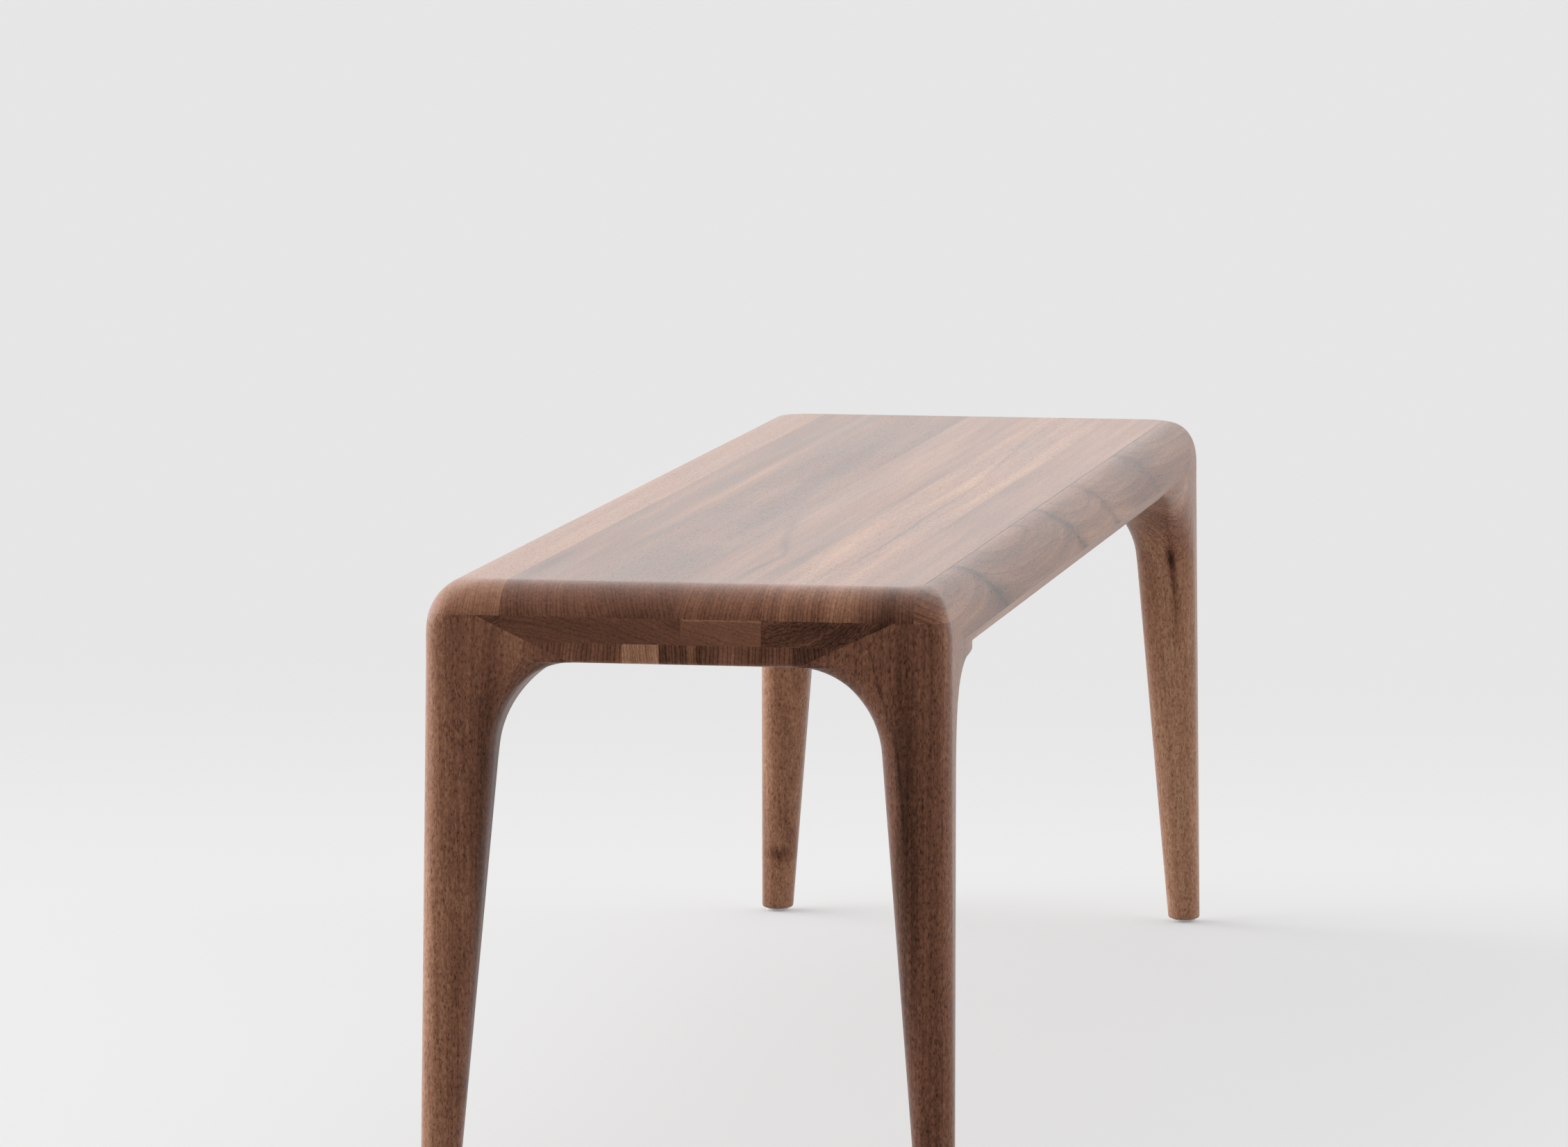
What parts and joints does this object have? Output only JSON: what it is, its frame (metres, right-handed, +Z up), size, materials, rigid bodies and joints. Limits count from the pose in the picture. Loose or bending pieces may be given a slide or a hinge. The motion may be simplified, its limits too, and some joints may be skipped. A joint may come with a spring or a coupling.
{
  "type": "bench",
  "caption": "Sculpted solid-wood bench: rounded seat glued from staves in layers, tapered legs blended into it through arches, and screw-in levelling glides under the feet.",
  "frame": {"origin": "on the floor, under the middle of the bench", "axes": "+X along the seat towards its right end, +Y towards the back, +Z up; the front is the long side at -Y"},
  "size_m": [1.4078, 0.3948, 0.45],
  "materials": {
    "walnut_light": "oiled satin, light tan walnut with fine darker lines",
    "walnut_mid": "oiled satin, mid brown walnut with open pores",
    "walnut_dark": "oiled satin, dark brown walnut with a cathedral figure",
    "walnut_deep": "oiled satin, very dark walnut with a curly end grain",
    "dowel_beech": "plain fluted dowel wood, glued in",
    "brass": "turned brass",
    "zinc_steel": "zinc-plated steel",
    "nylon": "pale grey moulded nylon"
  },
  "bodies": {
    "bench": {"top_stave_1": "walnut_light", "top_stave_2": "walnut_mid", "top_stave_3": "walnut_dark", "top_stave_4": "walnut_mid", "top_stave_5": "walnut_light", "top_stave_6": "walnut_light", "core_stave_1": "walnut_deep", "core_stave_2": "walnut_mid", "core_stave_3": "walnut_mid", "core_stave_4": "walnut_deep", "under_stave_1": "walnut_dark", "under_stave_2": "walnut_mid", "under_stave_3": "walnut_light", "under_stave_4": "walnut_deep", "under_stave_5": "walnut_mid", "under_stave_6": "walnut_dark", "under_stave_7": "walnut_light", "front_edge_stave": "walnut_dark", "leg_front_left": "walnut_mid", "dowel_a_front_left": "dowel_beech", "dowel_b_front_left": "dowel_beech", "insert_front_left": "brass", "leg_back_left": "walnut_mid", "dowel_a_back_left": "dowel_beech", "dowel_b_back_left": "dowel_beech", "insert_back_left": "brass", "leg_front_right": "walnut_mid", "dowel_a_front_right": "dowel_beech", "dowel_b_front_right": "dowel_beech", "insert_front_right": "brass", "leg_back_right": "walnut_mid", "dowel_a_back_right": "dowel_beech", "dowel_b_back_right": "dowel_beech", "insert_back_right": "brass"},
    "pad_front_left": {"glide_pad_front_left": "nylon"},
    "stud_front_left": {"glide_stud_front_left": "zinc_steel"},
    "pad_back_left": {"glide_pad_back_left": "nylon"},
    "stud_back_left": {"glide_stud_back_left": "zinc_steel"},
    "pad_front_right": {"glide_pad_front_right": "nylon"},
    "stud_front_right": {"glide_stud_front_right": "zinc_steel"},
    "pad_back_right": {"glide_pad_back_right": "nylon"},
    "stud_back_right": {"glide_stud_back_right": "zinc_steel"}
  },
  "joints": [
    {"name": "glide_front_left_travel", "type": "slide", "parent": "bench", "child": "pad_front_left", "axis": [0, 0, -1], "range_m": [0, 0.008]},
    {"name": "glide_front_left_turn", "type": "hinge", "parent": "pad_front_left", "child": "stud_front_left", "pos_m": [-0.69025, -0.18375, 0.02], "axis": [0, 0, -1], "range_deg": [0, 2880]},
    {"name": "glide_back_left_travel", "type": "slide", "parent": "bench", "child": "pad_back_left", "axis": [0, 0, -1], "range_m": [0, 0.008]},
    {"name": "glide_back_left_turn", "type": "hinge", "parent": "pad_back_left", "child": "stud_back_left", "pos_m": [-0.69025, 0.18375, 0.02], "axis": [0, 0, -1], "range_deg": [0, 2880]},
    {"name": "glide_front_right_travel", "type": "slide", "parent": "bench", "child": "pad_front_right", "axis": [0, 0, -1], "range_m": [0, 0.008]},
    {"name": "glide_front_right_turn", "type": "hinge", "parent": "pad_front_right", "child": "stud_front_right", "pos_m": [0.69025, -0.18375, 0.02], "axis": [0, 0, -1], "range_deg": [0, 2880]},
    {"name": "glide_back_right_travel", "type": "slide", "parent": "bench", "child": "pad_back_right", "axis": [0, 0, -1], "range_m": [0, 0.008]},
    {"name": "glide_back_right_turn", "type": "hinge", "parent": "pad_back_right", "child": "stud_back_right", "pos_m": [0.69025, 0.18375, 0.02], "axis": [0, 0, -1], "range_deg": [0, 2880]}
  ],
  "couplings": [
    {"joint": "glide_front_left_turn", "follows": "glide_front_left_travel", "rad_per_m": 6283.1},
    {"joint": "glide_back_left_turn", "follows": "glide_back_left_travel", "rad_per_m": 6283.1},
    {"joint": "glide_front_right_turn", "follows": "glide_front_right_travel", "rad_per_m": 6283.1},
    {"joint": "glide_back_right_turn", "follows": "glide_back_right_travel", "rad_per_m": 6283.1}
  ]
}
